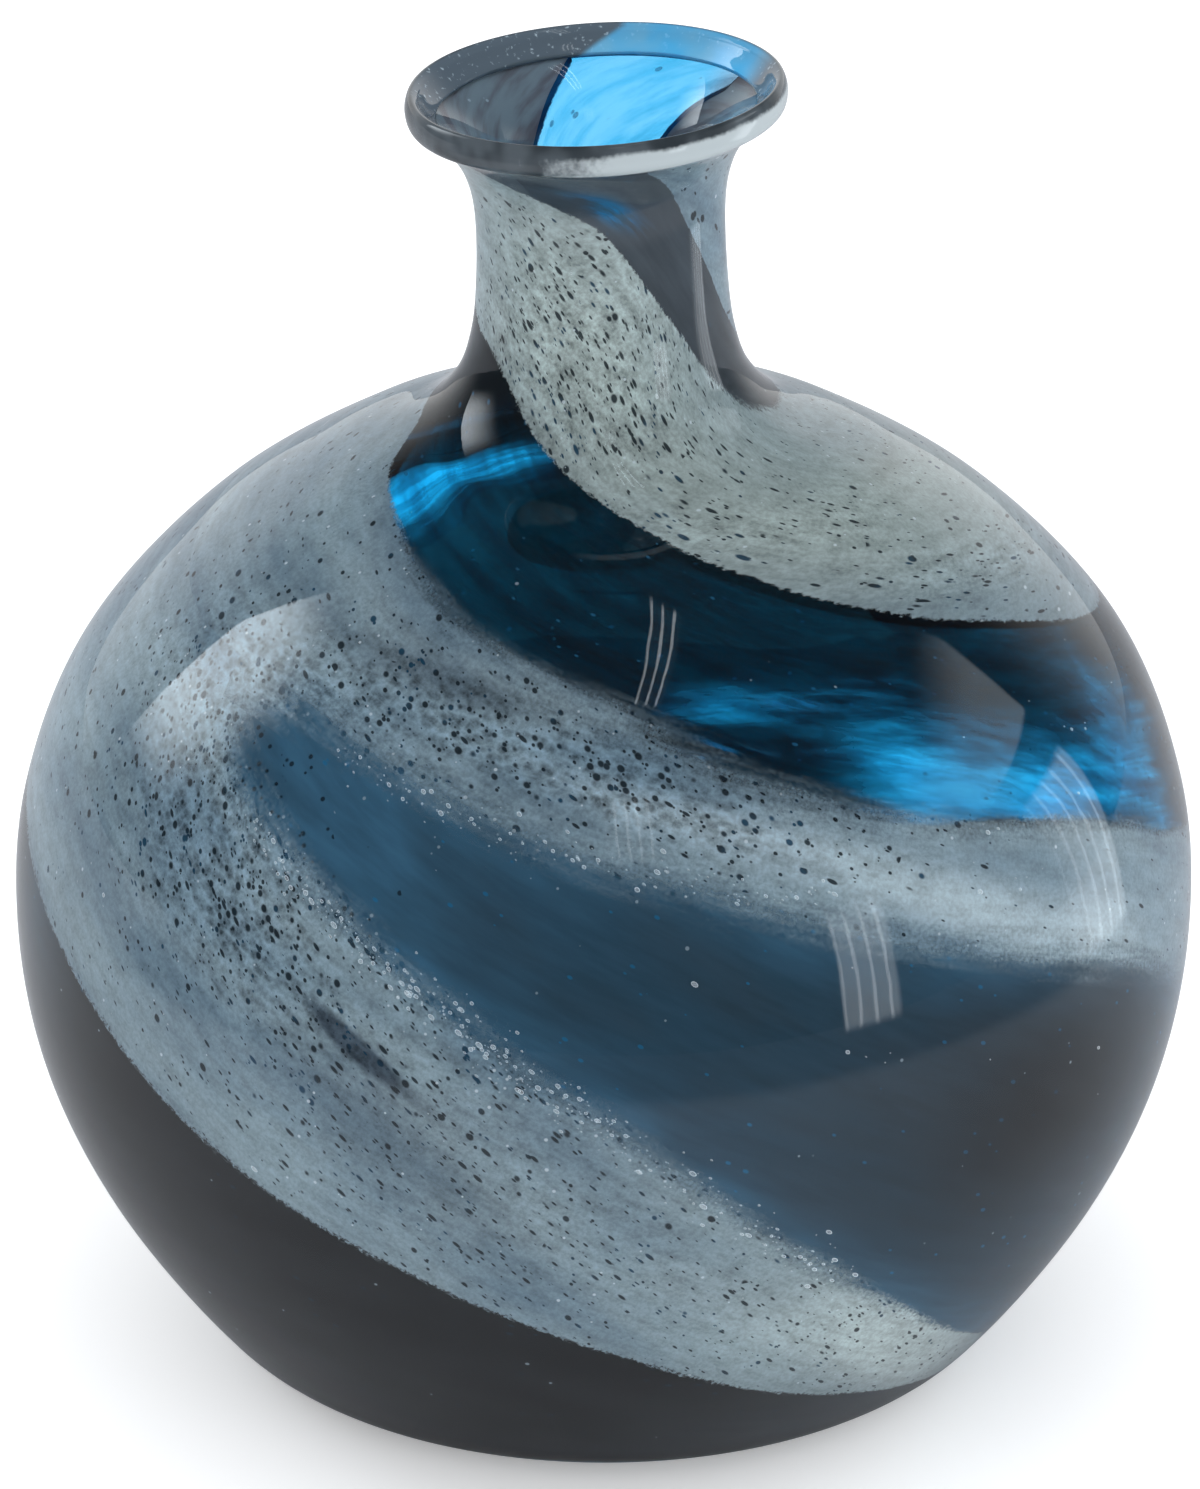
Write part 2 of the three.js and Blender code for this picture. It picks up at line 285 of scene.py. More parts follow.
GLASS_INDEX = 1.5
POLISHED = 0.02
POWDERY = 0.3


class Look:
    """Builds the nodes of a material, a lamp or the world from short calls."""

    def __init__(self, owner):
        owner.use_nodes = True
        self.owner = owner
        self.tree = owner.node_tree
        self.tree.nodes.clear()

    def add(self, kind, settings=None, **inputs):
        """A node; each input is a value or another node's socket, named with _ for spaces."""
        node = self.tree.nodes.new("ShaderNode" + kind)
        for key, value in (settings or {}).items():
            setattr(node, key, value)
        for key, value in inputs.items():
            name = key.replace("_", " ")
            socket = node.inputs[int(name[3:])] if name.startswith("in ") else node.inputs[name]
            if isinstance(value, bpy.types.NodeSocket):
                self.tree.links.new(value, socket)
            else:
                socket.default_value = value
        return node

    def math(self, operation, first, second=0.0, third=0.0, clamp=False):
        node = self.add("Math", {"operation": operation, "use_clamp": clamp},
                        in_0=first, in_1=second, in_2=third)
        return node.outputs[0]

    def times(self, first, second, clamp=False):
        return self.math("MULTIPLY", first, second, clamp=clamp)

    def line(self, value, slope, start):
        """value x slope + start."""
        return self.math("MULTIPLY_ADD", value, slope, start)

    def vary(self, value, pattern, amount):
        """The value, raised and lowered by a pattern that swings around a half."""
        return self.line(self.math("SUBTRACT", pattern, 0.5), amount, value)

    def greatest(self, first, *others):
        for other in others:
            first = self.math("MAXIMUM", first, other)
        return first

    def rest_of(self, share):
        """What is left of 1."""
        return self.math("SUBTRACT", 1.0, share)

    def ramp(self, value, low, high, start=0.0, end=1.0):
        """Rises smoothly from start to end as value goes from low to high."""
        node = self.add("MapRange", {"interpolation_type": "SMOOTHSTEP"}, Value=value,
                        From_Min=low, From_Max=high, To_Min=start, To_Max=end)
        return node.outputs["Result"]

    def blend(self, share, first, second):
        """Goes from the first colour to the second as share goes from 0 to 1."""
        ends = [(*end, 1) if isinstance(end, tuple) else end for end in (first, second)]
        node = self.add("Mix", {"data_type": "RGBA"}, Factor=share, in_6=ends[0], in_7=ends[1])
        return node.outputs[2]

    def scale(self, colour, amount):
        return self.add("VectorMath", {"operation": "SCALE"}, in_0=colour, Scale=amount).outputs[0]

    def value(self, name):
        return self.add("Attribute", {"attribute_name": name}).outputs["Fac"]

    def place(self, squeeze=(1, 1, 1), turn=0.0):
        """Millimetres along and across a stripe; a squeeze below 1 draws a pattern out that way."""
        vector = self.add("Attribute", {"attribute_name": "flow"}).outputs["Vector"]
        if turn:
            vector = self.add("VectorRotate", {"rotation_type": "Z_AXIS"}, Vector=vector,
                              Angle=math.radians(turn)).outputs[0]
        return self.add("VectorMath", {"operation": "MULTIPLY"}, in_0=vector,
                        in_1=squeeze).outputs[0]

    def noise(self, place, size, detail=2.0, rough=0.5):
        return self.add("TexNoise", Vector=place, Scale=1 / size, Detail=detail,
                        Roughness=rough).outputs[0]

    def dots(self, place, spacing, radius, share):
        """Round spots: 1 inside a spot. share is the part of the cells that hold one."""
        cells = self.add("TexVoronoi", Vector=place, Scale=1 / spacing)
        picks = self.add("SeparateColor", Color=cells.outputs["Color"])
        chosen = self.math("LESS_THAN", picks.outputs[0], share)
        size = self.line(picks.outputs[1], radius * 0.7, radius * 0.5)
        size = self.math("DIVIDE", size, spacing)
        edge = self.times(size, 0.6)
        inside = self.ramp(cells.outputs["Distance"], edge, size, 1.0, 0.0)
        return self.times(chosen, inside)

    def front_side(self):
        """1 where a face is seen from its front, 0 from behind."""
        return self.rest_of(self.add("NewGeometry").outputs["Backfacing"])

    def light_passing(self):
        """1 for light on its way to or from the dull colours, which skips the glass's bending."""
        path = self.add("LightPath")
        return self.math("MAXIMUM", path.outputs["Is Shadow Ray"], path.outputs["Is Diffuse Ray"])

    def mix(self, share, first, second):
        return self.add("MixShader", in_0=share, in_1=first, in_2=second).outputs[0]

    def clear(self, colour=WHITE):
        return self.add("BsdfTransparent", Color=colour).outputs[0]

    def dull(self, colour, roughness=0.0):
        return self.add("BsdfDiffuse", Color=colour, Roughness=roughness).outputs[0]

    def finish(self, shader):
        self.add("OutputMaterial", Surface=shader)
        return self.owner


def new_look(name):
    return Look(bpy.data.materials.new(name))


def glass_face(name, tint, ripple):
    """A polished face between air and glass. Light for the colours inside passes straight in."""
    look = new_look(name)
    bend = look.add("BsdfRefraction", Color=tint, Roughness=0.0, IOR=GLASS_INDEX)
    polish = look.add("BsdfAnisotropic", Color=WHITE, Roughness=POLISHED)
    share = look.add("Fresnel", IOR=GLASS_INDEX)
    place = look.add("TexCoord").outputs["Object"]
    waves = look.noise(place, 1 / 90, 1)
    bump = look.add("Bump", Strength=ripple, Distance=0.001, Height=waves)
    for node in (bend, polish, share):
        look.tree.links.new(bump.outputs[0], node.inputs["Normal"])
    through = look.mix(look.light_passing(), bend.outputs[0], look.clear(tint))
    return look.finish(look.mix(share.outputs[0], through, polish.outputs[0]))


def fused_face(name):
    """A face inside the wall, where two layers are melted together and nothing shows."""
    look = new_look(name)
    return look.finish(look.clear())


def thin_powder(look, cover):
    """Lets light past where the powder thins out, so that the glass under it isn't in shadow."""
    thin = look.ramp(look.value("cover"), 0.85, 1.0, 1.0, 0.0)
    passing = look.times(look.light_passing(), thin)
    return look.times(cover, look.rest_of(passing))


def powder_colour(look, grain, streak):
    """Cloudy grey, grainy and streaky, and coarser where there are pits or dashes."""
    cloud = look.noise(look.place(squeeze=(0.3, 1, 1)), 16, 3)
    flake = look.noise(look.place(squeeze=(0.6, 1, 1)), 3.2, 2, 0.55)
    pale = look.value("pale")
    pits, dash = look.value("pits"), look.value("dash")
    grey = look.blend(look.ramp(cloud, 0.3, 0.7), (0.200, 0.295, 0.365), (0.360, 0.465, 0.515))
    grey = look.blend(look.ramp(pale, -1, 0), (0.070, 0.100, 0.130), grey)
    # Paler powder; on the right of the body partly a painted reflection whitening
    grey = look.blend(look.ramp(pale, 0, 1), grey, (0.74, 0.84, 0.87))
    grey = look.blend(look.value("green"), grey, (0.500, 0.570, 0.545))
    speckle = look.ramp(grain, 0.34, 0.66, -0.21, 0.21)
    speckle = look.math("ADD", speckle, look.ramp(flake, 0.28, 0.68, -0.24, 0.20))
    speckle = look.math("ADD", speckle, look.ramp(streak, 0.3, 0.7, -0.16, 0.14))
    cells = look.add("TexVoronoi", Vector=look.place(squeeze=(0.7, 1, 1)), Scale=1 / 1.7)
    walls = look.ramp(cells.outputs["Distance"], 0.2, 0.75, -0.30, 0.34)
    speckle = look.line(walls, look.line(dash, 0.35, pits), speckle)
    coarse = look.line(look.greatest(pits, dash), 0.55, 0.40)
    return look.scale(grey, look.line(speckle, coarse, 1.0))


def pitted(look, colour):
    """Adds dark oval pits, dashes drawn out along the twist, and pale seed dots, some painted glints.
    """
    pits, dash = look.value("pits"), look.value("dash")
    drawn = look.place(squeeze=(0.36, 1, 1), turn=-14)
    oval = look.place(squeeze=(0.75, 1, 1), turn=-25)
    dark = look.greatest(
        look.dots(oval, 2.2, 0.74, pits),
        look.dots(oval, 1.3, 0.38, look.times(pits, 0.9)),
        look.dots(drawn, 1.35, 0.46, dash),
        look.dots(drawn, 0.8, 0.24, dash),
    )
    blue_pit = look.ramp(look.noise(look.place(), 9, 1), 0.52, 0.66)
    pit_colour = look.blend(blue_pit, (0.012, 0.020, 0.028), (0.008, 0.060, 0.120))
    colour = look.blend(look.times(dark, 0.93), colour, pit_colour)
    # Pale seed dots, on the neck and by the slate stripe partly painted glints of light
    seeds_and_glints = look.dots(look.place(), 1.7, 0.40, look.value("seeds_and_glints"))
    return look.blend(look.times(seeds_and_glints, 0.8), colour, (0.80, 0.88, 0.92))


def powder_cover(look, grain, streak):
    """How much the powder covers: grainy at its edges, and fading slowly at the soft ones."""
    soft = look.value("soft")
    rough = look.line(soft, -0.45, 0.9)
    edge = look.vary(look.value("cover"), grain, rough)
    edge = look.vary(edge, streak, 0.6)
    low = look.line(soft, -0.24, 0.30)
    high = look.line(soft, 0.34, 0.60)
    return look.ramp(edge, low, high)


def enamel_look(name):
    """Grey glass powder melted into the wall: grainy, pitted, drawn out along the twist."""
    look = new_look(name)
    streak = look.noise(look.place(squeeze=(0.12, 1, 1)), 2.6, 3, 0.6)
    grain = look.noise(look.place(), 0.9, 3, 0.65)
    colour = pitted(look, powder_colour(look, grain, streak))
    cover = thin_powder(look, powder_cover(look, grain, streak))
    return look.finish(look.mix(cover, look.clear(), look.dull(colour, POWDERY)))


def enamel_back(name):
    """The same powder from behind, seen through the blue bubble; paler in the neck, painted shade
    below.
    """
    look = new_look(name)
    grain = look.noise(look.place(), 1.2, 3, 0.6)
    streak = look.noise(look.place(squeeze=(0.2, 1, 1)), 3.0, 3)
    height = look.add("SeparateXYZ", Vector=look.add("TexCoord").outputs["Object"]).outputs[2]
    # Darker below the neck: painted shade lower inside the vase, where little light gets in
    neck = look.ramp(height, 0.200, 0.228)
    shaded_powder = look.blend(look.ramp(grain, 0.3, 0.7), (0.085, 0.110, 0.130), (0.150, 0.185, 0.215))
    mauve = look.blend(look.ramp(streak, 0.30, 0.62), (0.170, 0.160, 0.190), (0.270, 0.330, 0.380))
    colour = look.blend(neck, shaded_powder, mauve)
    specks = look.dots(look.place(), 2.6, 0.34, 0.40)
    colour = look.blend(look.times(specks, 0.7), colour, (0.5, 0.6, 0.7))
    cover = thin_powder(look, look.ramp(look.value("cover"), 0.30, 0.62))
    cover = look.times(cover, look.front_side())
    return look.finish(look.mix(cover, look.clear(), look.dull(colour, POWDERY)))


BRIGHT_BLUES = ((0.050, 0.53, 0.78), (0.110, 0.68, 0.93))
BRIGHT_AZURES = ((0.060, 0.41, 0.69), (0.150, 0.51, 0.78))


def stained_marks(look, cloud, streak):
    """The cloudy part of stained glass, with its glows, specks, strokes, seed dots and pits; part of
    the glow and the strokes is a painted blue glint, and some seed dots are painted glints.

    Gives its colour, and 1 where a mark covers the clear glass."""
    blue = look.value("blue")
    # The glow also carries a painted blue glint low on the neck
    glow = look.times(look.value("glow"), look.ramp(cloud, 0.3, 0.7, 0.72, 1.20), clamp=True)
    speck = look.dots(look.place(squeeze=(0.6, 1, 1)), 2.6, 0.44, 0.40)
    speck = look.times(speck, look.times(blue, 0.7))
    stroke_and_glint = look.times(look.value("stroke_and_glint"), look.ramp(streak, 0.42, 0.58))
    # Pale seed dots, by the slate stripe partly painted glints of light
    seeds_and_glints = look.dots(look.place(), 2.6, 0.42, look.value("seeds_and_glints"))
    pits = look.dots(look.place(), 1.75, 0.60, look.value("pits"))
    body = look.blend(blue, (0.016, 0.017, 0.019), (0.027, 0.040, 0.052))
    shade = look.math("ADD", cloud, look.times(streak, 0.5))
    body = look.scale(body, look.ramp(shade, 0.5, 1.0, 1.25, 0.6))
    body = look.blend(glow, body, look.blend(blue, (0.105, 0.116, 0.128), (0.058, 0.160, 0.255)))
    body = look.scale(body, look.ramp(streak, 0.25, 0.75, 0.84, 1.16))
    body = look.blend(speck, body, (0.02, 0.19, 0.38))
    # Bright blue strokes, and the painted blue glint on the neck
    body = look.blend(stroke_and_glint, body, (0.012, 0.26, 0.60))
    body = look.blend(look.times(seeds_and_glints, 0.6), body, (0.45, 0.56, 0.63))
    body = look.blend(look.times(pits, 0.9), body, (0.010, 0.020, 0.030))
    return body, look.greatest(glow, speck, pits, seeds_and_glints, stroke_and_glint)


def stained_look(name, blues):
    """Coloured glass between the trails: dense in places, clear and bright blue in others."""
    look = new_look(name)
    streak = look.noise(look.place(squeeze=(0.16, 1, 1)), 3.5, 4, 0.6)
    cloud = look.noise(look.place(squeeze=(0.4, 1, 1)), 14, 2)
    clear, blue = look.value("clear"), look.value("blue")
    varied = look.vary(clear, streak, 1.0)
    varied = look.vary(varied, cloud, 0.6)
    varied = look.times(varied, look.ramp(clear, 0.0, 0.3), clamp=True)
    dense = look.blend(blue, (0.020, 0.021, 0.024), (0.020, 0.045, 0.075))
    bright = look.blend(look.ramp(streak, 0.35, 0.65), *blues)
    bright = look.blend(blue, (0.30, 0.34, 0.40), bright)
    window = look.clear(look.blend(varied, dense, bright))
    body, marks = stained_marks(look, cloud, streak)
    share = look.times(look.rest_of(varied), look.value("scatter"))
    share = look.greatest(share, look.times(marks, 0.85))
    return look.finish(look.mix(share, window, look.dull(body)))


def lip_look(name):
    """Dark glass of the rolled lip, with pale powder under its right side and azure at the back."""
    look = new_look(name)
    place = look.add("TexCoord").outputs["Object"]
    grain = look.noise(place, 1 / 900, 3)
    wave = look.noise(place, 1 / 110)
    pale = look.vary(look.value("pale"), wave, 0.7)
    pale = look.vary(pale, grain, 0.5)
    colour = look.blend(look.ramp(wave, 0.35, 0.65), (0.024, 0.031, 0.037), (0.070, 0.085, 0.098))
    colour = look.blend(look.ramp(pale, 0.25, 0.85), colour, (0.40, 0.45, 0.47))
    slate = look.blend(look.ramp(grain, 0.60, 0.72), (0.085, 0.115, 0.145), (0.30, 0.38, 0.44))
    colour = look.blend(look.value("mouth"), colour, slate)
    azure = look.blend(look.ramp(wave, 0.3, 0.7), (0.060, 0.440, 0.820), (0.150, 0.460, 0.720))
    colour = look.blend(look.value("azure"), colour, azure)
    polish = look.add("BsdfAnisotropic", Color=WHITE, Roughness=0.03).outputs[0]
    mirrored = look.add("Fresnel", IOR=GLASS_INDEX).outputs[0]
    share = look.times(mirrored, look.front_side())
    return look.finish(look.mix(share, look.dull(colour), polish))


def bubble_look(name):
    """A bubble of air in glass: a clear middle in a ring of painted highlight with a faint glow."""
    look = new_look(name)
    facing = look.add("LayerWeight", Blend=0.3).outputs["Facing"]
    bright = look.dull((0.86, 0.92, 0.95, 1))
    # The faint glow is painted light: the bubbles are no lamps.
    shine = look.add("Emission", Color=(0.80, 0.92, 1.0, 1), Strength=0.25).outputs[0]
    ring = look.add("AddShader", in_0=bright, in_1=shine).outputs[0]
    return look.finish(look.mix(look.ramp(facing, 0.05, 0.45, 0.15, 1.0), look.clear(), ring))


# ---------- edges of the trails and stripes

def edge_arc(knots):
    """A function that gives an edge's arc at each angle."""
    curve = smooth_curve(knots)

    def arc_of(angle):
        return arc_at(np.interp(angle, curve[:, 0], curve[:, 1]))

    return arc_of


enamel_top, enamel_bottom = edge_arc(ENAMEL_TOP), edge_arc(ENAMEL_BOTTOM)
collar_bottom, azure_bottom = edge_arc(COLLAR_BOTTOM), edge_arc(AZURE_BOTTOM)
branch_bottom, slate_bottom = edge_arc(BRANCH_BOTTOM), edge_arc(SLATE_BOTTOM)


def wall_top(angle):
    return WALL_ARC + 0 * angle


def wall_foot(angle):
    return FLOOR_ARC + 0 * angle


def next_turn_top(angle):
    return enamel_top(angle + 360)


def in_turn(*stretches):
    """An edge made of stretches, as (edge, angle it ends at), the last one with no end."""
    def edge(angle):
        found = stretches[-1][0](angle)
        for stretch, end in reversed(stretches[:-1]):
            found = np.where(angle <= end, stretch(angle), found)
        return found
    return edge


FIRST_COLLAR, LAST_COLLAR = COLLAR_BOTTOM[0][0], COLLAR_BOTTOM[-1][0]
FIRST_AZURE, LAST_AZURE = AZURE_BOTTOM[0][0], AZURE_BOTTOM[-1][0]
FIRST_TOP, LAST_TOP = ENAMEL_TOP[0][0], ENAMEL_TOP[-1][0]
FIRST_BOTTOM, LAST_BOTTOM = ENAMEL_BOTTOM[0][0], ENAMEL_BOTTOM[-1][0]
FIRST_BRANCH, FIRST_SLATE = BRANCH_BOTTOM[0][0], SLATE_BOTTOM[0][0]
# A stripe of stained glass ends at the last knot that its upper edge has above the floor.
LAST_SLATE, LAST_LONG = BRANCH_BOTTOM[-2][0], ENAMEL_BOTTOM[-2][0]
FIRST_LONG = FIRST_TOP - 360
BACK_OF_NECK, BACK_OF_BODY = 180, 540

# Each enamel trail: name, first and last angle, upper and lower edge, depths of its two faces
TRAILS = [
    ("collar_enamel_trail", FIRST_COLLAR, LAST_COLLAR,
     in_turn((wall_top, FIRST_AZURE), (azure_bottom, None)), collar_bottom, COLLAR_DEPTHS),
    ("main_enamel_trail", FIRST_BOTTOM, LAST_BOTTOM,
     in_turn((wall_top, FIRST_TOP), (enamel_top, FIRST_BRANCH), (branch_bottom, FIRST_SLATE),
             (slate_bottom, None)), enamel_bottom, MAIN_DEPTHS),
    ("branch_enamel_trail", FIRST_BRANCH, LAST_TOP, enamel_top, branch_bottom, BRANCH_DEPTHS),
]
# The long stripe between the enamel's turns changes colour twice, so it is three pieces in a row.
LONG_PIECES = [
    ("neck_smoke_stripe", "smoke_glass", FIRST_LONG, BACK_OF_NECK),
    ("shoulder_cobalt_stripe", "cobalt_glass", BACK_OF_NECK, BACK_OF_BODY),
    ("base_charcoal_stripe", "charcoal_glass", BACK_OF_BODY, LAST_LONG),
]
long_top = in_turn((wall_top, FIRST_COLLAR), (collar_bottom, LAST_COLLAR),
                   (azure_bottom, LAST_AZURE), (enamel_bottom, None))
long_foot = in_turn((next_turn_top, LAST_TOP - 360), (wall_foot, None))
azure_top = in_turn((wall_top, FIRST_BOTTOM), (enamel_bottom, None))
slate_foot = in_turn((slate_bottom, LAST_BOTTOM), (wall_foot, None))

# How far the stained glass goes on under the enamel
WINDOW_MARGINS = (8.0, 8.0)
AZURE_MARGINS = (1.5, 1.5)
LEAST_BREADTH = 0.3
LEAST_ARC = 1.0
LEAST_ROWS = 6


def patches(angle, arc, table):
    """Soft ovals added up. A row is (angle, height), (length, breadth), slant, strength."""
    total = 0 * (angle + arc)
    for (centre, height), (length, breadth), slant, strength in table:
        middle = arc_at(height)
        across = np.radians(angle - centre) * radius_at(middle)
        down = middle - arc
        turn = math.radians(slant)
        along = across * math.cos(turn) + down * math.sin(turn)
        beside = down * math.cos(turn) - across * math.sin(turn)
        total = total + strength * np.exp(-(along / length) ** 2 - (beside / breadth) ** 2)
    return total


def share_of(amount):
    return np.clip(amount, 0, 1)


def even_out(values, reach=14):
    """A column of values, each the average of its neighbours up to the reach."""
    padded = np.pad(values[:, 0], reach, mode="reflect", reflect_type="odd")
    return np.convolve(padded, np.ones(2 * reach + 1) / (2 * reach + 1), "valid")[:, None]


def columns_between(start, end):
    return np.linspace(start, end, int(round((end - start) / COLUMN_STEP)) + 1)[:, None]


def stripe_grid(start, end, top, foot, margins):
    """Angles and arcs of a stripe's vertices, its flow, and the distances to its two edges."""
    angle = columns_between(start, end)
    high, low = np.maximum(top(angle), foot(angle) + LEAST_BREADTH), foot(angle)
    reach_top = np.minimum(high + margins[0], WALL_ARC)
    reach_foot = np.maximum(low - margins[1], LEAST_ARC)
    rows = max(LEAST_ROWS, int(np.max(reach_top - reach_foot) / ROW_STEP))
    share = np.linspace(0, 1, rows + 1)[None, :]
    arc = reach_top + (reach_foot - reach_top) * share
    middle = even_out((high + low) / 2)
    run = np.radians(np.gradient(angle[:, 0]))[:, None] * radius_at(middle)
    fall = even_out(-np.gradient(middle[:, 0])[:, None])
    slant = np.arctan2(fall, run)
    travelled = np.cumsum(np.hypot(run, fall), axis=0)
    down = middle - arc
    flow = np.stack([travelled + down * np.sin(slant), down * np.cos(slant), 0 * arc], axis=-1)
    to_top = (high - arc) * np.cos(slant)
    to_foot = (arc - low) * np.cos(slant)
    return angle + 0 * arc, arc, flow, to_top, to_foot


def face_quads(grid):
    corners = [grid[:-1, :-1], grid[:-1, 1:], grid[1:, 1:], grid[1:, :-1]]
    return np.stack(corners, -1).reshape(-1, 4)


def closed_strip(shape):
    """Quads of a strip with an outer and an inner face, both (column, row), closed all round."""
    outer = np.arange(shape[0] * shape[1]).reshape(shape)
    inner = outer + outer.size
    sides = []
    for line, flip in ((0, False), (-1, True)):
        for outer_line, inner_line, turned_over in (
            (outer[line, :], inner[line, :], flip), (outer[:, line], inner[:, line], not flip),
        ):
            quad = np.stack([outer_line[:-1], inner_line[:-1], inner_line[1:], outer_line[1:]], -1)
            sides.append(quad[:, ::-1] if turned_over else quad)
    front = face_quads(outer)
    others = np.concatenate([face_quads(inner)[:, ::-1], *sides])
    return np.concatenate([front, others]), np.repeat([0, 1], [len(front), len(others)])


def stripe(name, grid, depths, materials, attributes):
    """A thin curved solid; its outer face has the first material, the rest the second."""
    angle, arc, flow = grid[:3]
    points = np.concatenate([
        skin_point(angle, arc, depth).reshape(-1, 3) for depth in depths
    ])
    quads, kinds = closed_strip(angle.shape)
    values = {"flow": np.tile(flow.reshape(-1, 3), (2, 1))}
    for key, field in attributes.items():
        values[key] = np.tile(np.broadcast_to(field, angle.shape).ravel(), 2)
    piece_name = name.replace("_trail", "").replace("_stripe", "") + "_layer"
    settle(make_object(piece_name, points, quads, materials, kinds, values), name)


# ---------- the grey enamel

# Widths of a trail's soft upper and lower edges, as (angle, millimetres). Below 0 the edge joins
# other enamel or the lip.
FEATHERS = {
    "collar_enamel_trail": (
        [(18, -1), (117, -1), (118, 1.5), (243, 1.5)],
        [(18, 1.5), (243, 1.5)],
    ),
    "main_enamel_trail": (
        [(189, -1), (296, -1), (298, 2), (380, 1.5), (430, 5), (476, 3), (478, -1), (665, -1),
         (667, 12), (680, 13), (720, 11), (745, 8), (765, 4), (801, 2)],
        [(189, 2), (300, 2.5), (345, 2), (400, 2.5), (460, 3), (640, 4), (720, 3.5), (801, 2)],
    ),
    "branch_enamel_trail": (
        [(477, 3), (640, 2), (672, 4), (690, 10), (720, 12), (750, 11), (765, 8), (800, 6), (963, 3)],
        [(477, -1), (665, -1), (667, 13), (690, 14), (720, 13), (750, 14), (800, 9), (963, 3)],
    ),
}
# Soft ovals, as (angle, height), (length, breadth), slant, strength: more powder at the tip and
# the edge of the slate stripe, round pits, dashes, paler powder (on the body's right partly a
# painted reflection whitening), greener powder, and pale seed dots (partly painted glints)
EXTRA_COVER = [((666, 160), (17, 7), 30, 0.8), ((716, 166), (22, 3.5), 22, 0.5)]
PITS = [
    ((673, 160), (34, 12), 0, 0.80), ((674, 138), (28, 17), 30, 1.00),
    ((703, 161), (34, 9), 20, 0.80), ((728, 152), (34, 8), 25, 0.55),
    ((700, 128), (34, 8), 35, 0.45), ((684, 118), (26, 12), 30, 0.50),
    ((696, 107), (12, 3), 33, 0.6), ((726, 148), (24, 5), 25, 0.3), ((774, 112), (40, 22), 0, -0.25),
]
DASHES = [
    ((348, 218), (22, 20), 0, 0.95), ((352, 201), (20, 10), 20, 0.80),
    ((388, 184), (36, 7), 15, 0.75), ((430, 169), (42, 6), 20, 0.60),
    ((705, 92), (60, 26), 35, 0.45), ((750, 40), (40, 20), 40, 0.25),
]
# Paler powder (darker below 0); on the body's right partly a painted reflection whitening
PALE_AND_SHEEN = [
    ((640, 168), (40, 26), 0, -0.12), ((671, 158), (24, 6), 20, 0.25),
    ((758, 127), (30, 8), 25, 0.50), ((778, 109), (34, 10), 20, 0.48), ((728, 151), (40, 9), 25, 0.22),
    ((432, 172), (40, 8), 15, 0.15), ((443, 181), (15, 4), 10, -0.8),
    ((696, 107), (11, 1.8), 33, -1.8), ((735, 48), (60, 10), 38, 0.30), ((758, 30), (36, 13), 45, 0.95),
    ((350, 222), (26, 28), 0, 0.30), ((400, 192), (30, 8), 15, 0.25),
    ((690, 167), (30, 5), 10, -0.5), ((715, 160), (40, 5), 25, -0.5),
    ((672, 128), (30, 9), 30, 0.05), ((705, 84), (50, 12), 40, -0.45), ((724, 154), (30, 7), 25, 0.30),
    ((741, 143), (20, 7), 25, 0.15), ((688, 122), (20, 6), 40, 0.20), ((790, 100), (24, 12), 0, -0.25),
]
GREEN = [
    ((350, 215), (40, 50), 0, 0.8), ((430, 178), (80, 24), 15, 0.7),
    ((755, 35), (60, 26), 40, 0.6),
]
# Pale seed dots; the neck spot is a painted highlight, the slate stripe's patches partly painted
# sparkle
SEEDS_AND_GLINTS = [
    ((698, 149), (34, 5), 28, 0.8), ((716, 142), (24, 5), 30, 0.7), ((700, 121), (40, 6), 38, 0.7),
    ((672, 152), (12, 9), 0, 0.45), ((344, 202.9), (1.6, 1.6), 0, 0.9),
]


def free_edge(distance, feather):
    """How much powder covers a place near an edge that thins out over the feather."""
    fading = 0.5 + distance / np.maximum(feather, 0.05)
    return np.where(feather > 0.05, share_of(fading), 1)


def feather_at(angle, knots):
    return np.interp(angle, *zip(*knots))


def feather_margin(feather):
    """How far the mesh goes past an edge, so that the powder can thin out."""
    return np.where(feather > 0, 0.6 * feather + 1, 0.6)


def enamel_trail(name, start, end, top, foot, depths, materials):
    columns = columns_between(start, end)
    margins = [feather_margin(feather_at(columns, knots)) for knots in FEATHERS[name]]
    grid = stripe_grid(start, end, top, foot, margins)
    angle, arc, _, to_top, to_foot = grid
    top_feather, foot_feather = (feather_at(angle, knots) for knots in FEATHERS[name])
    cover = np.minimum(free_edge(to_top, top_feather), free_edge(to_foot, foot_feather))
    nearest = np.maximum(np.where(to_top < to_foot, top_feather, foot_feather), 0)
    stripe(name, grid, depths, materials, {
        "cover": share_of(cover + patches(angle, arc, EXTRA_COVER)),
        "soft": smoothstep(nearest, 3, 9),
        "pits": share_of(0.10 + patches(angle, arc, PITS)),
        "dash": share_of(0.06 + patches(angle, arc, DASHES)),
        "pale": patches(angle, arc, PALE_AND_SHEEN),
        "green": share_of(patches(angle, arc, GREEN)),
        "seeds_and_glints": share_of(0.08 + patches(angle, arc, SEEDS_AND_GLINTS)),
    })


# ---------- the stained glass

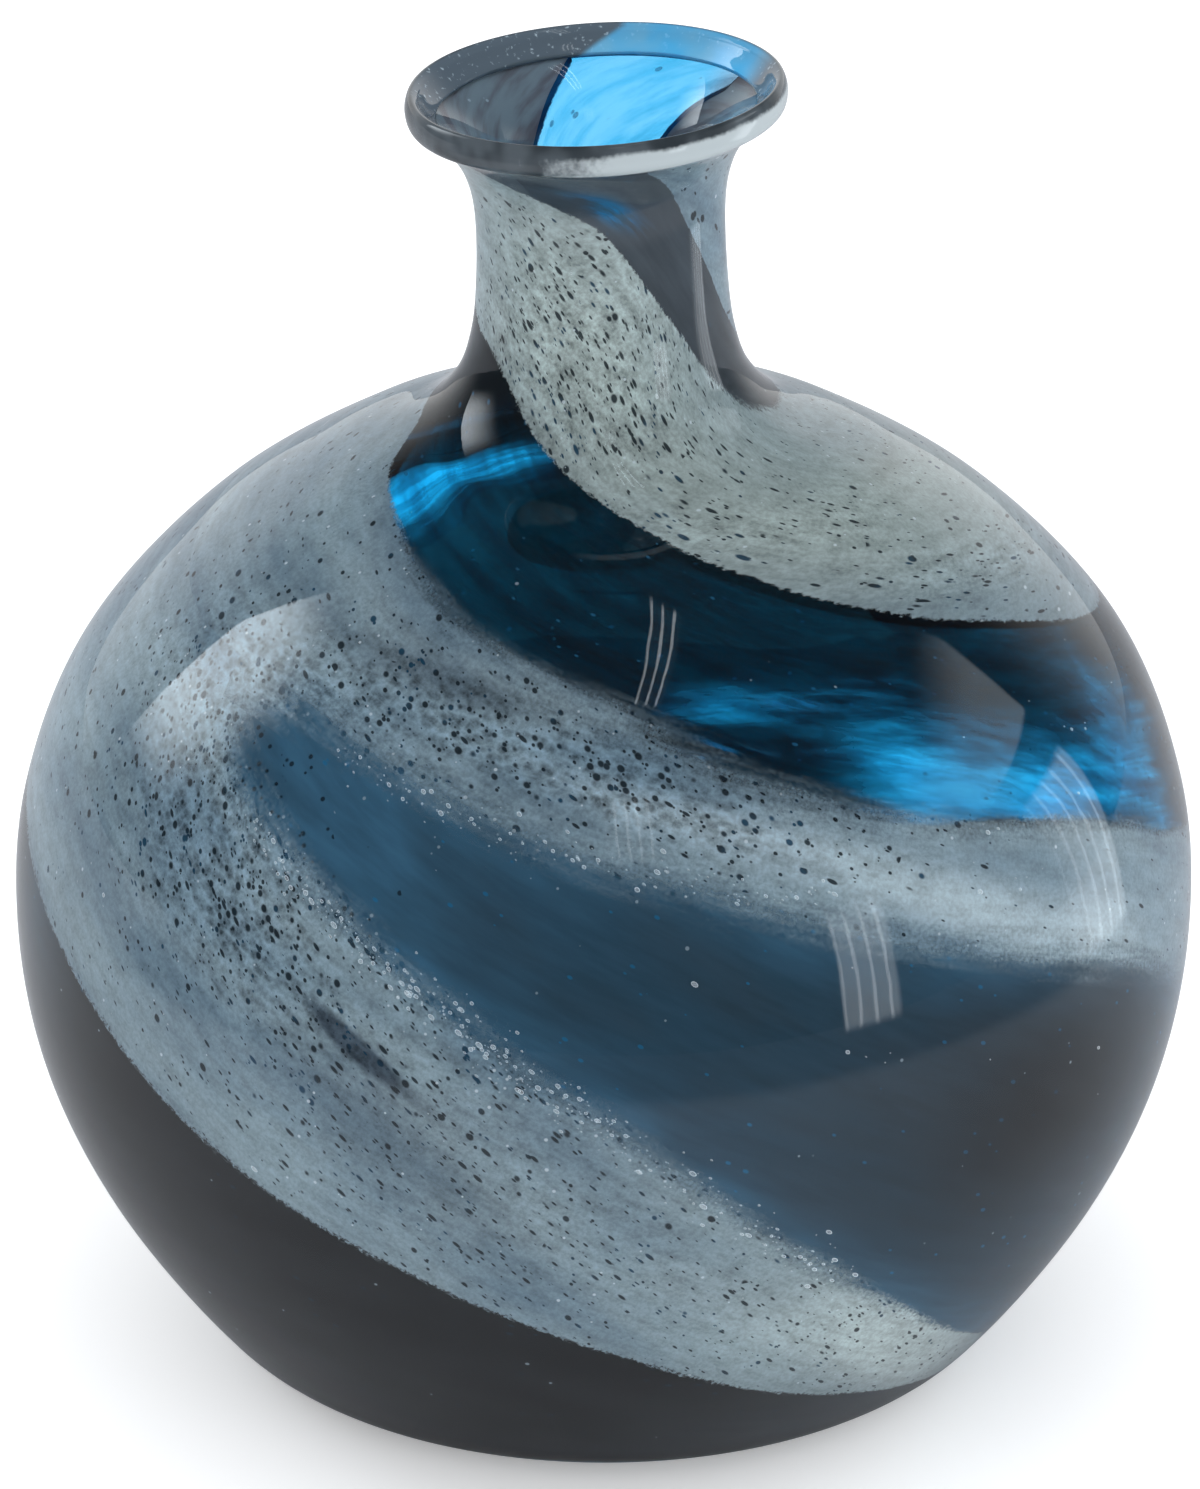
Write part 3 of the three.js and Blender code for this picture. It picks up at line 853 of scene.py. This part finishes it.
# Soft ovals again: clearer glass, the slate stripe's pale tip and brown end, marks and tints,
# and a painted blue glint low on the neck
CLEAR = [
    ((563, 141), (30, 12), 0, 1.0), ((512, 86), (24, 9), 10, 0.28), ((502, 72), (20, 10), 0, 1.0),
    ((486, 80), (22, 12), 0, 0.75), ((469, 101), (40, 17), 41, 0.66), ((527, 81), (15, 5), 0, 0.55),
    ((403, 146), (22, 14), 0, 0.25), ((569, 160), (16, 10), 0, 0.5),
    ((302, 184), (36, 10), 0, 0.40), ((300, 204), (36, 8), -19, -1.2), ((262, 203), (26, 12), 0, -0.6),
    ((92, 243), (26, 9), 0, 0.7),
]
SLATE_TIP = [((676, 149), (40, 14), 25, 0.9), ((696, 138), (60, 20), 32, 0.4)]
BROWN = [((768, 80), (36, 24), 0, 0.8)]
VIOLET = [((-22, 243), (15, 7), 0, 0.9)]
# A painted glint of blue light low on the front of the neck
BLUE_GLINT = [((5, 238.5), (4, 2.2), 40, 1.0)]
PALE_FRONT = [((408, 146), (18, 14), 0, 0.60), ((500, 71), (16, 9), 0, 0.45)]
PALE_CHARCOAL = [((750, 10), (40, 14), 0, 0.35)]
DEEP_BLUE = [((648, 104), (20, 18), 60, 0.7)]
# Bright blue strokes in the glass; the last row is the painted blue glint on the neck
STROKES_AND_GLINT = [
    ((386, 163), (9, 2.2), 12, 0.9), ((374, 158.5), (12, 2.0), 14, 0.8),
    ((403, 172), (3, 1), 0, 0.5), ((5, 238.3), (6, 1.6), 30, 1.3),
]
WINDOW_PITS = [((674, 150), (22, 9), 25, 0.75), ((684, 138), (24, 7), 35, 0.5)]


def front_of_window(angle):
    """1 over the front of the long stripe, where it is clear enough to see the back through."""
    return smoothstep(angle, 262, 300) - smoothstep(angle, 430, 456)


def long_clearness(angle, arc):
    """How clear the long stripe is: smoky at the neck, clear at the front, streaky at the back."""
    return share_of(0.02 + 0.80 * front_of_window(angle) + patches(angle, arc, CLEAR))


def long_blueness(angle, arc):
    """Blue between the back of the neck and the back of the body."""
    blue = 0.88 * (smoothstep(angle, 150, 215) - smoothstep(angle, 575, 650))
    other = 0.15 * patches(angle, arc, VIOLET) + patches(angle, arc, DEEP_BLUE)
    # The painted blue glint on the neck makes the glass bluer there
    other = other + 1.4 * patches(angle, arc, BLUE_GLINT)
    return share_of(0.12 + blue + other - patches(angle, arc, PALE_FRONT))


def long_values(angle, arc):
    smoke = 1 - smoothstep(angle, 150, 215)
    # The glow also carries the painted blue glint on the neck
    glow = patches(angle, arc, VIOLET + BLUE_GLINT + PALE_CHARCOAL)
    glow = glow + 0.5 * patches(angle, arc, DEEP_BLUE) + 0.75 * smoke
    return {
        "clear": long_clearness(angle, arc),
        "blue": long_blueness(angle, arc),
        "glow": share_of(glow),
        "scatter": 0.98 - 0.55 * front_of_window(angle),
    }


def azure_values(angle):
    far_side = 1 - smoothstep(angle, 116, 136)
    return {
        "clear": 1.12 - 0.4 * far_side,
        "blue": 1 - 0.6 * far_side,
        "glow": 0.0,
        "scatter": 0.1,
    }


def slate_values(angle, arc, to_top, to_foot):
    rim = np.exp(-(np.maximum(to_top, 0) / 9) ** 2) + np.exp(-(np.maximum(to_foot, 0) / 9) ** 2)
    brown = share_of(patches(angle, arc, BROWN))
    glow = 0.28 + 0.45 * rim + 0.7 * patches(angle, arc, SLATE_TIP)
    return {
        "clear": 0.0,
        "blue": 1 - brown,
        "glow": share_of(glow) * (1 - brown),
        "scatter": 0.98,
    }


def window_stripe(name, slot, blues, grid, depths, values):
    angle, arc = grid[:2]
    # Blue strokes, and the painted blue glint on the neck
    values["stroke_and_glint"] = share_of(patches(angle, arc, STROKES_AND_GLINT))
    values["pits"] = share_of(patches(angle, arc, WINDOW_PITS))
    values["seeds_and_glints"] = share_of(0.03 + patches(angle, arc, SEEDS_AND_GLINTS))
    stripe(name, grid, depths, [stained_look(slot, blues), inside_wall], values)


def long_stripe():
    """The long stripe's pieces are cut from one grid, so that they meet without a seam."""
    whole = stripe_grid(FIRST_LONG, LAST_LONG, long_top, long_foot, WINDOW_MARGINS)
    for name, slot, start, end in LONG_PIECES:
        first, last = ((angle - FIRST_LONG) // COLUMN_STEP for angle in (start, end))
        grid = [field[first:last + 1] for field in whole]
        window_stripe(name, slot, BRIGHT_BLUES, grid, GLASS_DEPTHS, long_values(*grid[:2]))


def azure_stripe():
    grid = stripe_grid(FIRST_AZURE, LAST_AZURE, azure_top, azure_bottom, AZURE_MARGINS)
    window_stripe("neck_azure_stripe", "azure_glass", BRIGHT_AZURES, grid, AZURE_DEPTHS,
                  azure_values(grid[0]))


def slate_stripe():
    grid = stripe_grid(FIRST_SLATE, LAST_SLATE, branch_bottom, slate_foot, WINDOW_MARGINS)
    angle, arc, _, to_top, to_foot = grid
    window_stripe("body_slate_stripe", "slate_glass", BRIGHT_BLUES, grid, GLASS_DEPTHS,
                  slate_values(angle, arc, to_top, to_foot))


# ---------- casing, bubble and lip

FOOT_RINGS = [0, 3, 6, 9, 12, PONTIL_RADIUS, 25, 40, 50]
# The last ring of a face is close to the one before it, so that its rim bends no light.
LAST_RING = 0.1
INWARDS = (0.75, 0.5, 0.25, 0)


def turned(name, replaced, rings, materials, kinds):
    """A body turned round the axis; its first and last rings are single points on the axis."""
    points, quads = lathe(rings[1:-1], closed=False)
    columns = rings.shape[1]
    first, last = len(points), len(points) + 1
    ring = np.arange(columns)
    around = np.roll(ring, -1)
    top_ring = len(points) - columns
    fans = [(first, ahead, here) for here, ahead in zip(ring, around)]
    fans += [(last, top_ring + here, top_ring + ahead) for here, ahead in zip(ring, around)]
    faces = [tuple(quad) for quad in quads] + fans
    face_kinds = np.concatenate([
        np.repeat(kinds[1:-2], columns), np.repeat([kinds[0], kinds[-2]], columns),
    ])
    points = np.vstack([points, rings[0, 0], rings[-1, 0]])
    settle(make_object(name, points, faces, materials, face_kinds), replaced)


def skin_rings(depth, count):
    """Rings of a layer's face from the foot up to the lip."""
    arc = np.append(np.linspace(0, WALL_ARC - LAST_RING, count - 1), WALL_ARC)[:, None]
    return skin_point(all_round(SKIN_COLUMNS)[None, :], arc, depth)


def flat_rings(radii, heights):
    angle = all_round(SKIN_COLUMNS)
    return np.stack([around_axis(angle, *place) for place in zip(radii, heights)])


def inner_rings(edge, shares):
    """Flat rings inside a face's edge, at the edge's height."""
    radius = float(np.hypot(*edge[0, :2]))
    return flat_rings([radius * share for share in shares], [edge[0, 2]] * len(shares))


def pontil(radius):
    """The ground hollow under the foot."""
    return PONTIL_DEPTH * max(0, 1 - (radius / PONTIL_RADIUS) ** 2)


def casing():
    """The clear gather: polished outside, fused to the colours inside."""
    foot = flat_rings(FOOT_RINGS, [pontil(radius) for radius in FOOT_RINGS])
    skin, inner = skin_rings(0, OUTER_RINGS), skin_rings(CASING_DEPTH, FUSED_RINGS)[::-1]
    rings = np.concatenate([foot, skin, inner, inner_rings(inner[-1], INWARDS)])
    kinds = np.where(np.arange(len(rings)) < len(foot) + len(skin) - 1, 0, 1)
    polished = glass_face("clear_glass", (0.985, 0.992, 1, 1), 0.02)
    turned("casing_layer", "clear_casing", rings, [polished, inside_wall], kinds)


def bubble():
    """The blue bubble: fused to the colours outside, polished round the hollow."""
    outer, inner = (skin_rings(depth, count) for depth, count
                    in zip(BUBBLE_DEPTHS, (FUSED_RINGS, CAVITY_RINGS)))
    below, floor = inner_rings(outer[0], INWARDS[::-1]), inner_rings(inner[0], INWARDS)
    rings = np.concatenate([below, outer, inner[::-1], floor])
    kinds = np.where(np.arange(len(rings)) >= len(below) + len(outer), 0, 1)
    polished = glass_face("blue_glass", (0.90, 0.97, 1, 1), 0.03)
    turned("bubble_layer", "blue_bubble", rings, [polished, inside_wall], kinds)


def bead_section(steps=12):
    """Points round the lip's section."""
    curve = smooth_curve([*BEAD[-1:], *BEAD, *BEAD[:2]], steps)[steps:-steps]
    return curve[np.linspace(0, len(curve) - 1, LIP_POINTS, endpoint=False).astype(int)]


def lip_values(bead, middle, angle):
    """Pale powder under the right side; at the back the inner side carries on the mouth's colours."""
    under = share_of((middle[1] + 2.5 - bead[:, 1]) / 1.8) * (bead[:, 0] > 33.2)
    signed_angle = (angle + 180) % 360 - 180
    right_side = smoothstep(signed_angle, -36, 24) - smoothstep(signed_angle, 105, 125)
    inner_side = 1 - smoothstep(bead[:, 0], 34.0, 34.9)[:, None]
    climb = share_of((bead[:, 1] - 250.5) / 5.0)[:, None]
    far_half = smoothstep(np.abs(signed_angle), 60, 95)[None, :]
    azure = smoothstep(angle[None, :], 98, 116) - smoothstep(angle[None, :] + 17 * climb, 186, 190)
    return {
        "pale": (under[:, None] * right_side[None, :]).ravel() * 1.1,
        "mouth": (inner_side * far_half).ravel(),
        "azure": (inner_side * share_of(azure) * (1 - 0.35 * climb)).ravel(),
    }


def lip():
    """The dark wrap rolled round the lip, a little uneven."""
    bead = bead_section()
    middle = bead.mean(axis=0)
    angle = all_round(LIP_COLUMNS)
    swell = 0.12 * np.sin(np.radians(2 * angle + 40)) + 0.07 * np.sin(np.radians(5 * angle))
    rings = np.stack([
        lean_neck(around_axis(angle, radius + swell * (radius > middle[0]), height))
        for radius, height in bead
    ])
    points, quads = lathe(rings, closed=True)
    values = lip_values(bead, middle, angle)
    made = make_object("lip_wrap_bead", points, quads, [lip_look("lip_glass")], None, values)
    settle(made, "lip_wrap")


# ---------- air bubbles in the casing

# Trails of small bubbles, as (angle, height) from start to end, how many and how far they stray
SEED_TRAILS = [
    ((688, 154), (744, 134), 120, 2.0), ((680, 141), (701, 121), 110, 1.6),
    ((701, 121), (722, 93), 170, 2.0), ((722, 93), (744, 56), 110, 2.4),
    ((735, 120), (790, 70), 6, 5), ((395, 160), (470, 120), 8, 5),
    ((640, 150), (700, 60), 12, 6), ((340, 225), (420, 175), 7, 5), ((450, 180), (640, 70), 14, 6),
    ((402, 139), (406, 136), 5, 1.0), ((399, 126), (408, 128), 6, 1.5),
    ((418, 136), (420, 134), 2, 1.0), ((423, 146), (424, 142), 3, 1.0),
    ((384, 107), (388, 104), 4, 1.0),
]


def air_bubbles():
    """Small air bubbles caught in the clear glass, drawn out along the twist."""
    ball = bmesh.new()
    bmesh.ops.create_icosphere(ball, subdivisions=2, radius=1)
    unit = np.array([vertex.co for vertex in ball.verts])
    faces = np.array([[vertex.index for vertex in face.verts] for face in ball.faces])
    ball.free()
    points, triangles = [], []
    draw = np.random.default_rng(7)
    for (start, high), (end, low), count, stray in SEED_TRAILS:
        for share in np.linspace(0, 1, count):
            angle = start + (end - start) * share + draw.normal(0, 0.6 * stray)
            arc = arc_at(high + (low - high) * share) + draw.normal(0, stray)
            depth = draw.uniform(1.0, 1.5)
            centre = skin_point(angle, arc, depth)
            out = centre - skin_point(angle, arc, depth + 1)
            along = skin_point(angle + 2, arc - 3, depth) - centre
            out, along = out / np.linalg.norm(out), along / np.linalg.norm(along)
            beside = np.cross(out, along)
            size = 0.10 + 0.36 * draw.uniform(0, 1) ** 4
            axes = np.stack([along * size * draw.uniform(1.1, 2.0), beside * size, out * size * 0.7])
            triangles.append(faces + len(points) * len(unit))
            points.append(centre + unit @ axes)
    points, triangles = np.vstack(points), np.vstack(triangles)
    settle(make_object("air_bubbles", points, triangles, [bubble_look("air")]))


# ---------- studio

FLOOR_RADIUS = 3000
FLOOR_DROP = 0.05


def floor_look():
    """White table; in reflections it is greyer, and dark past its front and right edges."""
    look = new_look("studio_floor")
    place = look.add("TexCoord").outputs["Object"]
    mottle = look.noise(place, 1 / 6, 3)
    white = look.blend(mottle, (0.93, 0.935, 0.94), (0.95, 0.95, 0.955))
    reach = look.add("VectorMath", {"operation": "LENGTH"}, in_0=place).outputs["Value"]
    depth = look.add("SeparateXYZ", Vector=place).outputs[1]
    in_front = look.ramp(depth, -0.05, 0.15, 1.0, 0.0)
    past_edge = look.times(look.ramp(reach, 0.40, 0.52), in_front)
    mirrored = look.blend(past_edge, (0.46, 0.47, 0.49), (0.13, 0.13, 0.14))
    path = look.add("LightPath")
    glossy = look.math("SUBTRACT", path.outputs["Is Glossy Ray"],
                       path.outputs["Is Transmission Ray"], clamp=True)
    table = look.dull(look.blend(glossy, white, mirrored))
    lift = look.times(look.rest_of(glossy), 0.27)
    shine = look.add("Emission", Color=WHITE, Strength=lift).outputs[0]
    return look.finish(look.add("AddShader", in_0=table, in_1=shine).outputs[0])


def studio_floor(rings=24, columns=96):
    """A wide disc just under the foot, finer towards its middle."""
    spread = FLOOR_RADIUS * (np.arange(1, rings + 1) / rings) ** 2
    circles = np.stack([
        around_axis(all_round(columns), radius, -FLOOR_DROP) for radius in spread
    ])
    points, quads = lathe(circles, closed=False)
    ring = np.arange(columns)
    fan = [(len(points), int(here), int(ahead)) for here, ahead in zip(ring, np.roll(ring, -1))]
    faces = [tuple(quad) for quad in quads[:, ::-1]] + fan
    points = np.vstack([points, [0, 0, -FLOOR_DROP]])
    make_object("studio_floor", points, faces, [floor_look()])


def studio_world():
    """White to the camera, soft white on the enamel, and a room with a dark ceiling in mirrors."""
    world = bpy.data.worlds.new("studio")
    bpy.context.scene.world = world
    look = Look(world)
    path = look.add("LightPath")
    mirrored = path.outputs["Is Glossy Ray"]
    parts = look.add("SeparateXYZ", Vector=look.add("TexCoord").outputs["Generated"])
    behind = look.ramp(parts.outputs[1], 0.40, 0.95)
    below_ceiling = look.ramp(parts.outputs[2], 0.30, 0.62, 1.0, 0.0)
    room = look.line(look.times(behind, below_ceiling), 0.95, 0.05)
    soft = look.blend(mirrored, (1.12, 1.13, 1.15), (0, 0, 0))
    light = look.add("VectorMath", {"operation": "ADD"}, in_0=soft,
                     in_1=look.times(mirrored, room)).outputs[0]
    seen = look.greatest(path.outputs["Is Camera Ray"], path.outputs["Is Transmission Ray"])
    background = look.add("Background", Color=look.blend(seen, light, (1, 1, 1)), Strength=1.0)
    look.add("OutputWorld", Surface=background.outputs[0])


def lamp_pattern(lamp, fades, lines, base):
    """Shapes a lamp's light: soft borders (left, right, foot, top), and wavy bright lines."""
    look = Look(lamp)
    spot = look.add("NewGeometry").outputs["Parametric"]
    parts = look.add("SeparateXYZ", Vector=spot)
    across, up = parts.outputs[0], parts.outputs[1]
    distances = (across, look.rest_of(across), up, look.rest_of(up))
    level = 1.0
    for distance, fade in zip(distances, fades):
        level = look.times(look.ramp(distance, 0.0, fade), level)
    if lines:
        wave = look.noise(spot, 1 / 5)
        shifted = look.vary(across, wave, 0.07)
        swing = look.math("SINE", look.times(shifted, 2 * math.pi * lines))
        level = look.times(look.ramp(swing, 0.55, 0.97, base, 1.0), level)
    glow = look.add("Emission", Strength=level)
    look.add("OutputLight", Surface=glow.outputs[0])


def panel(name, place, turn, size, radiance, fades, lines=0, base=0.0):
    """A rectangular area lamp, in metres; turn is its rotation."""
    lamp = bpy.data.lights.new(name, "AREA")
    lamp.shape = "RECTANGLE"
    lamp.size, lamp.size_y = size
    lamp.color = (0.88, 0.95, 1.0)
    lamp.energy = radiance * math.pi * size[0] * size[1]
    lamp_pattern(lamp, fades, lines, base)
    made = add_object(name, lamp)
    made.location = place
    made.rotation_euler = turn
    made.visible_camera = False
    made.visible_transmission = False


# Lamps: name, place, the spot of the vase that mirrors it, size, radiance, all in metres, then how
# far its left, right, foot and top borders fade, its number of bright lines and the light between
LAMPS = [
    ("left_softbox", (-0.811, 0.222, 0.600), (-0.068, -0.050, 0.156), (0.475, 0.75), 4.7,
     (0.02, 0.9, 0.4, 0.35)),
    ("right_softbox", (0.717, 0.084, 0.599), (0.066, -0.059, 0.154), (0.40, 0.30), 1.3,
     (0.8, 0.04, 0.05, 0.6)),
    ("right_window", (0.453, 0.039, 0.137), (0.086, -0.062, 0.127), (0.165, 0.255), 3.2,
     (0.5, 0.05, 0.12, 0.08), 6, 0.5),
    ("middle_window", (0.126, -0.846, 1.075), (0.006, -0.096, 0.146), (0.21, 0.37), 2.6,
     (0.2, 0.2, 0.3, 0.1), 5, 0.15),
    ("low_window", (0.579, -0.537, 0.237), (0.046, -0.098, 0.123), (0.171, 0.385), 5.2,
     (0.1, 0.1, 0.12, 0.3), 4, 0.42),
    ("right_glow", (1.17, -0.19, 0.56), (0.06, -0.06, 0.12), (0.9, 1.0), 0.35,
     (0.5, 0.3, 0.5, 0.3)),
]


def studio_lamps():
    for name, place, spot, *light in LAMPS:
        facing = (Vector(spot) - Vector(place)).to_track_quat("-Z", "Y").to_euler()
        panel(name, place, facing, *light)
    panel("top_window", (0.209, -0.175, 1.45), (0, 0, math.radians(-4.7)), (0.13, 0.55), 4.5,
          (0.1, 0.1, 0.05, 0.05), 3, 0.03)


CAMERA_PLACE = (-0.87, -1273.9, 700.8)
CAMERA_DIP = 24.5
LENS, SENSOR = 174.0, 36.0


def studio_camera():
    """Looks down at the vase from the front."""
    camera = add_object("camera", bpy.data.cameras.new("camera"))
    camera.location = Vector(CAMERA_PLACE) * MM
    camera.rotation_euler = (math.radians(90 - CAMERA_DIP), 0, 0)
    camera.data.lens = LENS
    camera.data.sensor_width = SENSOR
    camera.data.clip_start = 0.05
    bpy.context.scene.camera = camera


def picture_settings():
    """Plain colours, and enough bounces for light to pass all the layers of the wall."""
    bpy.context.scene.view_settings.view_transform = "Standard"
    cycles = bpy.context.scene.cycles
    cycles.max_bounces = 16
    cycles.glossy_bounces = 6
    cycles.transmission_bounces = 14
    cycles.transparent_max_bounces = 64


# ---------- the whole scene

enamel = [enamel_look("grey_enamel"), enamel_back("enamel_inside")]
for trail in TRAILS:
    enamel_trail(*trail, enamel)
inside_wall = fused_face("inside_wall")
long_stripe()
azure_stripe()
slate_stripe()
casing()
bubble()
lip()
air_bubbles()
studio_floor()
studio_world()
studio_lamps()
studio_camera()
picture_settings()

bpy.context.view_layer.update()
